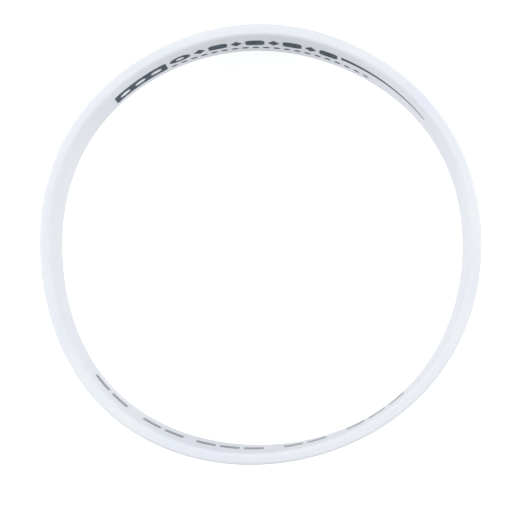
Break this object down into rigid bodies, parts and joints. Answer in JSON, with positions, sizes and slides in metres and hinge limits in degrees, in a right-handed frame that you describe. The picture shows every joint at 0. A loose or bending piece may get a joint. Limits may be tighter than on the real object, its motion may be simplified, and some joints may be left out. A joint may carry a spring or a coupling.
{
  "type": "silicone wristband",
  "caption": "Soft moulded silicone wristband, a plain closed ring with shallow ink-filled marks round its inside wall.",
  "frame": {"origin": "on the surface that the band rests on, under the middle of its outline", "axes": "+Z along the band's axis, from the resting edge to the top edge; the long row of marks is on the +Y wall"},
  "size_m": [0.0658, 0.0656, 0.012],
  "materials": {
    "silicone": "matte moulded silicone",
    "ink": "matte cured silicone ink"
  },
  "bodies": {
    "root": {"silicone_band": "silicone", "lead_bar_ink": "ink", "accent_ring_ink": "ink", "main_row_ink": "ink", "tail_ink": "ink", "fine_row_ink": "ink", "dash_group_1_ink": "ink", "dash_group_2_ink": "ink", "dash_group_3_ink": "ink", "dash_group_4_ink": "ink", "dash_group_5_ink": "ink"}
  },
  "joints": []
}
